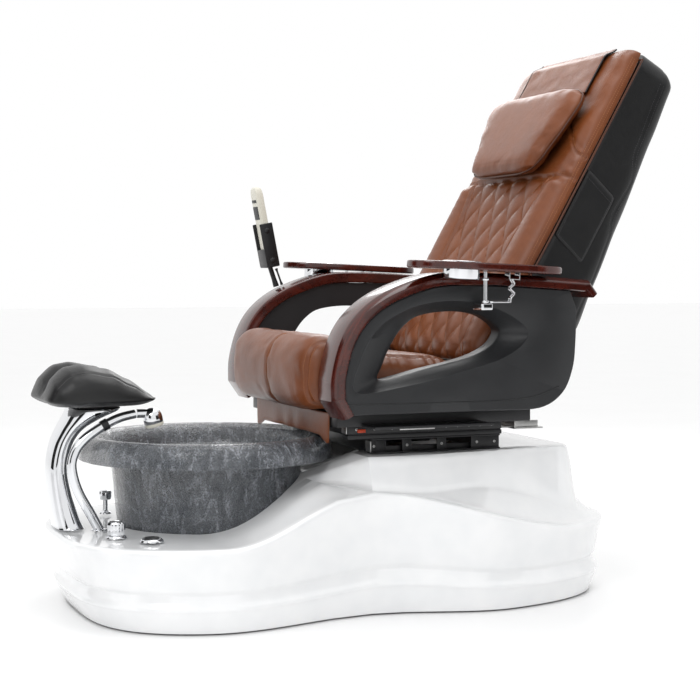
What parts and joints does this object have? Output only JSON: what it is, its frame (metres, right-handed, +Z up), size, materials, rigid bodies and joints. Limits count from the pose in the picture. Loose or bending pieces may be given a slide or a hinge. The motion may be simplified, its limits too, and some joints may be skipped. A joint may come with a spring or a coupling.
{
  "type": "pedicure spa chair",
  "caption": "Pedicure spa chair: moulded white base with a clear foot bowl, chrome footrest column and taps, a sliding seat with reclining leather back, wooden arms and swing-out cup trays.",
  "frame": {"origin": "on the floor under the middle of the chair's overall length and width", "axes": "+Z up, -Y the way the sitter faces, +X the sitter's left"},
  "size_m": [1, 1.5797, 1.3559],
  "materials": {
    "gelcoat": "glossy white moulded gel coat",
    "resin": "smoky clear resin with a hammered surface",
    "chrome": "polished chrome plate",
    "steel": "black powder coat",
    "leather": "glossy tan brown leather over foam",
    "black_leather": "glossy black leather",
    "plastic": "dark grey satin plastic",
    "wood": "lacquered mahogany",
    "rubber": "matt black rubber",
    "ivory": "satin ivory plastic"
  },
  "bodies": {
    "base": {"base_shell": "gelcoat", "base_frame": "steel", "levelling_foot_front_left": "rubber", "levelling_foot_front_right": "rubber", "levelling_foot_rear_left": "rubber", "levelling_foot_rear_right": "rubber", "bowl_cradle": "steel", "basin_bowl": "resin", "drain_fitting": "chrome", "jet_housing": "chrome", "jet_motor": "plastic", "footrest_column": "chrome", "footrest_bracket": "steel", "faucet_spout": "chrome", "mixer_ring": "chrome", "diverter_stem": "chrome", "button_bezel": "chrome", "slide_base_frame": "steel", "slide_motor": "steel", "footrest_pad": "black_leather"},
    "seat": {"slide_carriage": "steel", "seat_frame": "steel", "rear_bracket": "steel", "recline_axle": "chrome", "recline_actuator": "steel", "seat_cushion": "leather", "front_bolster": "leather", "calf_flap": "leather", "side_panel_left": "plastic", "side_panel_right": "plastic", "arm_trim_left": "wood", "arm_trim_right": "wood", "tray_post_left": "chrome", "tray_post_right": "chrome", "handset_stalk": "plastic", "handset_holder": "plastic", "handset_cable": "rubber", "tray_clip_left": "chrome", "tray_clip_right": "chrome"},
    "back": {"back_frame": "steel", "back_shell": "black_leather", "back_cushion": "leather"},
    "pillow": {"headrest_pillow": "leather", "pillow_flap": "leather"},
    "massage_unit": {"massage_carriage": "plastic"},
    "actuator_rod": {"recline_rod": "chrome"},
    "handset": {"handset": "ivory"},
    "tray_left": {"tray_board_left": "wood", "tray_cup_left": "chrome"},
    "tray_right": {"tray_board_right": "wood", "tray_cup_right": "chrome"},
    "spray": {"spray_head": "chrome", "spray_nozzle": "ivory"},
    "mixer": {"mixer_knob": "chrome"},
    "diverter": {"diverter_knob": "chrome"},
    "button": {"air_button": "plastic"},
    "plug": {"drain_plug": "chrome"},
    "impeller": {"jet_impeller": "plastic"}
  },
  "joints": [
    {"name": "seat_slide", "type": "slide", "parent": "base", "child": "seat", "axis": [0, -1, 0], "range_m": [-0.02, 0.04]},
    {"name": "back_recline", "type": "hinge", "parent": "seat", "child": "back", "pos_m": [0, 0.335, 0.54], "axis": [-1, 0, 0], "range_deg": [0, 20]},
    {"name": "actuator_stroke", "type": "slide", "parent": "seat", "child": "actuator_rod", "axis": [0, -1, 0], "range_m": [0, 0.034]},
    {"name": "pillow_flip", "type": "hinge", "parent": "back", "child": "pillow", "pos_m": [0, 0.6197, 1.35712], "axis": [-1, 0, 0], "range_deg": [0, 80]},
    {"name": "massage_travel", "type": "slide", "parent": "back", "child": "massage_unit", "axis": [0, 0.5, 0.866], "range_m": [-0.06, 0.36]},
    {"name": "handset_lift", "type": "slide", "parent": "seat", "child": "handset", "axis": [0, -0.1908, 0.9816], "range_m": [0, 0.12]},
    {"name": "tray_left_swing", "type": "hinge", "parent": "seat", "child": "tray_left", "pos_m": [0.425, 0.155, 0.7895], "axis": [0, 0.0454, 0.999], "range_deg": [0, 90]},
    {"name": "tray_right_swing", "type": "hinge", "parent": "seat", "child": "tray_right", "pos_m": [-0.425, 0.155, 0.7895], "axis": [0, 0.0454, 0.999], "range_deg": [-90, 0]},
    {"name": "spray_pull", "type": "slide", "parent": "base", "child": "spray", "axis": [0, 1, 0], "range_m": [0, 0.02]},
    {"name": "mixer_turn", "type": "hinge", "parent": "base", "child": "mixer", "pos_m": [0.2, -0.652, 0.1984], "axis": [0, 0, 1], "range_deg": [-45, 45]},
    {"name": "diverter_turn", "type": "hinge", "parent": "base", "child": "diverter", "pos_m": [-0.165, -0.59, 0.2269], "axis": [0, 0, 1], "range_deg": [-90, 90]},
    {"name": "button_press", "type": "slide", "parent": "base", "child": "button", "axis": [0, 0, -1], "range_m": [0, 0.003], "stiffness_N_per_m": 400, "springref_m": -0.001},
    {"name": "plug_lift", "type": "slide", "parent": "base", "child": "plug", "axis": [0, 0, 1], "range_m": [0, 0.012]},
    {"name": "impeller_spin", "type": "hinge", "parent": "base", "child": "impeller", "pos_m": [0, -0.193, 0.235], "axis": [0, 1, 0], "continuous": true}
  ],
  "couplings": [
    {"joint": "actuator_stroke", "follows": "back_recline", "m_per_rad": 0.093}
  ]
}
